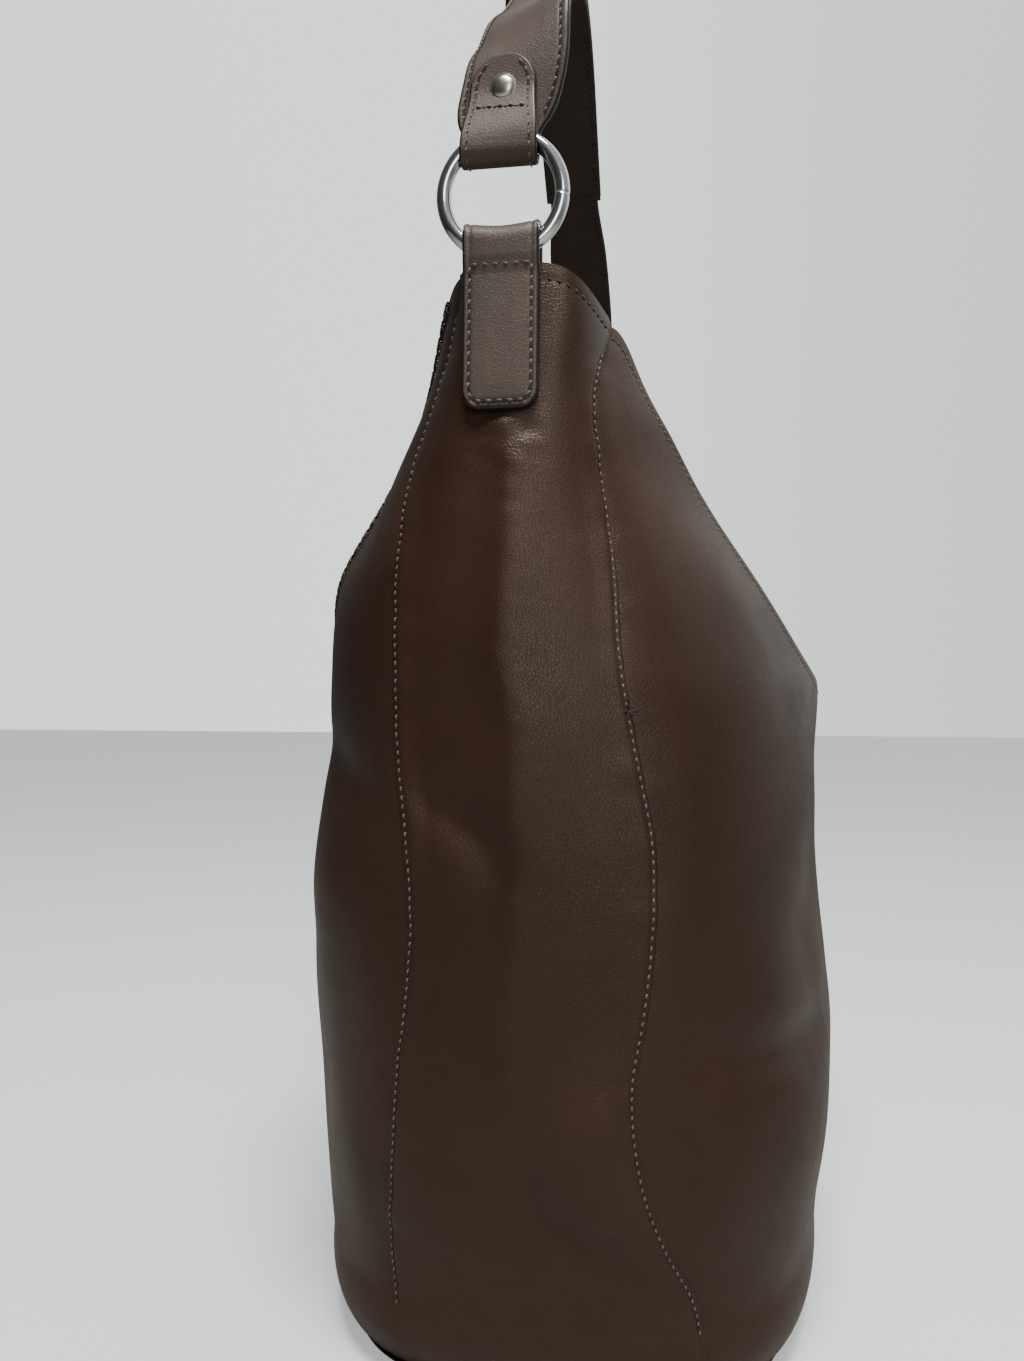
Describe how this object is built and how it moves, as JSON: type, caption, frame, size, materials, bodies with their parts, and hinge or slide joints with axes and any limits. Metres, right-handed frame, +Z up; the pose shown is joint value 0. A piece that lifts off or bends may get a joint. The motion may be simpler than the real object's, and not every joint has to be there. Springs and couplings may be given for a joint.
{
  "type": "hobo bag",
  "caption": "Slouchy leather hobo bag with an open top, end gussets, a laced front rim and a shoulder strap on two chrome rings.",
  "frame": {"origin": "under the middle of the bag, on the surface that it stands on", "axes": "+Z up along the bag's height with its strap raised, X along the bag's length, -Y towards the laced front"},
  "size_m": [0.368, 0.211, 0.5626],
  "materials": {
    "body_leather": "semi-gloss dark brown, smooth with a fine grain",
    "trim_leather": "satin taupe, smooth",
    "strap_lining_leather": "matt dark brown",
    "lacing": "waxed dark brown lacing",
    "lining": "woven brown lining",
    "board": "pressed fibre board",
    "foam": "bonded fibre filler",
    "chrome": "polished",
    "snap_metal": "satin nickel",
    "zip_tape": "woven tape",
    "zip_metal": "satin nickel",
    "edge_paint": "painted leather edge",
    "thread": "waxed thread"
  },
  "bodies": {
    "bag": {"front_panel": "body_leather", "back_panel": "body_leather", "near_gusset": "body_leather", "far_gusset": "body_leather", "base_panel": "body_leather", "base_board": "board", "base_lining": "lining", "front_lining": "lining", "back_lining": "lining", "near_end_lining": "lining", "far_end_lining": "lining", "front_facing": "body_leather", "back_facing": "body_leather", "rim_lacing": "lacing", "near_tab": "trim_leather", "far_tab": "trim_leather", "snap_socket": "snap_metal", "snap_stud": "snap_metal", "slip_pocket": "lining", "zip_pocket": "lining", "zip_tape": "zip_tape", "zip_teeth": "zip_metal"},
    "near_ring": {"near_ring": "chrome"},
    "far_ring": {"far_ring": "chrome"},
    "strap": {"near_paddle": "trim_leather", "far_paddle": "trim_leather", "near_paddle_lining": "strap_lining_leather", "far_paddle_lining": "strap_lining_leather", "strap_core": "foam", "strap_outer": "trim_leather", "strap_lining": "strap_lining_leather", "rivet_caps": "chrome", "rivet_backs": "chrome"},
    "zip_slider": {"zip_slider": "zip_metal"},
    "zip_puller": {"zip_puller": "zip_metal"}
  },
  "joints": [
    {"name": "near_ring_spin", "type": "hinge", "parent": "bag", "child": "near_ring", "pos_m": [0.17, -0.015, 0.393], "axis": [1, 0, 0], "continuous": true},
    {"name": "far_ring_spin", "type": "hinge", "parent": "bag", "child": "far_ring", "pos_m": [-0.17, -0.015, 0.393], "axis": [1, 0, 0], "continuous": true},
    {"name": "strap_swing", "type": "hinge", "parent": "bag", "child": "strap", "pos_m": [0, -0.015, 0.393], "axis": [1, 0, 0], "range_deg": [-68, 68]},
    {"name": "pocket_zip_slide", "type": "slide", "parent": "bag", "child": "zip_slider", "axis": [1, 0, 0], "range_m": [-0.116, 0]},
    {"name": "puller_pivot", "type": "hinge", "parent": "zip_slider", "child": "zip_puller", "pos_m": [0.058, 0.0711, 0.188], "axis": [0, 0, 1], "range_deg": [0, 172]}
  ]
}
